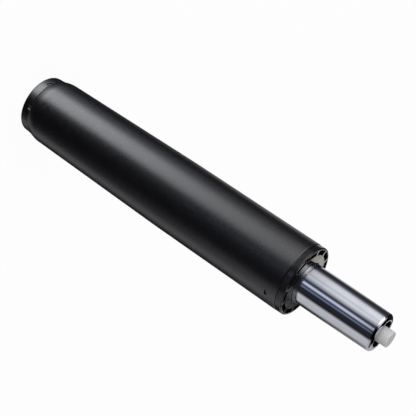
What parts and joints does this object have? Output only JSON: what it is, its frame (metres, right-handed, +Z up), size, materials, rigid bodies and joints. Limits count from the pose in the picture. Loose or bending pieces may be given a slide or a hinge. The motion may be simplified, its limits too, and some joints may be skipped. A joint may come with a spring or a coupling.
{
  "type": "chair gas lift cylinder",
  "caption": "Locking gas spring in a tapered steel pedestal column, which lifts, lowers and swivels an office chair seat at the press of a release button.",
  "frame": {"origin": "centre of the column's foot, on the axis", "axes": "+Z up along the axis towards the release button; the picture looks from -Y"},
  "size_m": [0.05, 0.05, 0.302],
  "materials": {
    "column_paint": "satin black powder coat on drawn steel tube",
    "bush_plastic": "moulded black acetal with a fine grain",
    "chrome": "hard chrome on a ground steel tube",
    "button_plastic": "moulded off-white acetal",
    "plated_steel": "zinc plated steel",
    "bearing_steel": "hardened and polished bearing steel",
    "ground_steel": "ground and hardened steel",
    "drawn_steel": "cold drawn thin steel tube",
    "spring_steel": "black oxide steel",
    "turned_aluminium": "turned aluminium",
    "brass": "turned brass",
    "cage_plastic": "moulded natural nylon",
    "rubber": "moulded black nitrile rubber"
  },
  "bodies": {
    "column": {"outer_column": "column_paint", "guide_bush": "bush_plastic", "base_plate": "plated_steel", "lower_race": "bearing_steel"},
    "bearing_cage": {"ball_cage": "cage_plastic", "bearing_balls": "bearing_steel"},
    "rod": {"upper_race": "bearing_steel", "piston_rod": "ground_steel", "foot_washer": "plated_steel", "retaining_clip": "spring_steel", "bumper": "rubber", "lower_piston_washer": "plated_steel", "piston": "brass", "piston_ring": "rubber", "guide_band": "cage_plastic", "upper_piston_washer": "plated_steel", "piston_nut": "plated_steel"},
    "gas_spring": {"pressure_tube": "chrome", "inner_cylinder": "drawn_steel", "closing_disc": "plated_steel", "rod_seal": "rubber", "backing_ring": "cage_plastic", "rod_guide": "turned_aluminium", "guide_ring": "rubber", "valve_body": "turned_aluminium", "valve_body_rings": "rubber", "pin_seals": "rubber", "pin_spacer": "cage_plastic", "valve_cap": "bush_plastic", "spacer_sleeve": "spring_steel"},
    "release": {"valve_pin": "ground_steel", "release_button": "button_plastic"}
  },
  "joints": [
    {"name": "swivel", "type": "hinge", "parent": "column", "child": "rod", "pos_m": [0, 0, 0.0125], "axis": [0, 0, 1], "continuous": true},
    {"name": "cage_roll", "type": "hinge", "parent": "column", "child": "bearing_cage", "pos_m": [0, 0, 0.0125], "axis": [0, 0, 1], "continuous": true},
    {"name": "lift", "type": "slide", "parent": "rod", "child": "gas_spring", "axis": [0, 0, 1], "range_m": [0, 0.12]},
    {"name": "press", "type": "slide", "parent": "gas_spring", "child": "release", "axis": [0, 0, -1], "range_m": [0, 0.004], "stiffness_N_per_m": 5000}
  ],
  "couplings": [
    {"joint": "cage_roll", "follows": "swivel", "ratio": 0.5}
  ]
}
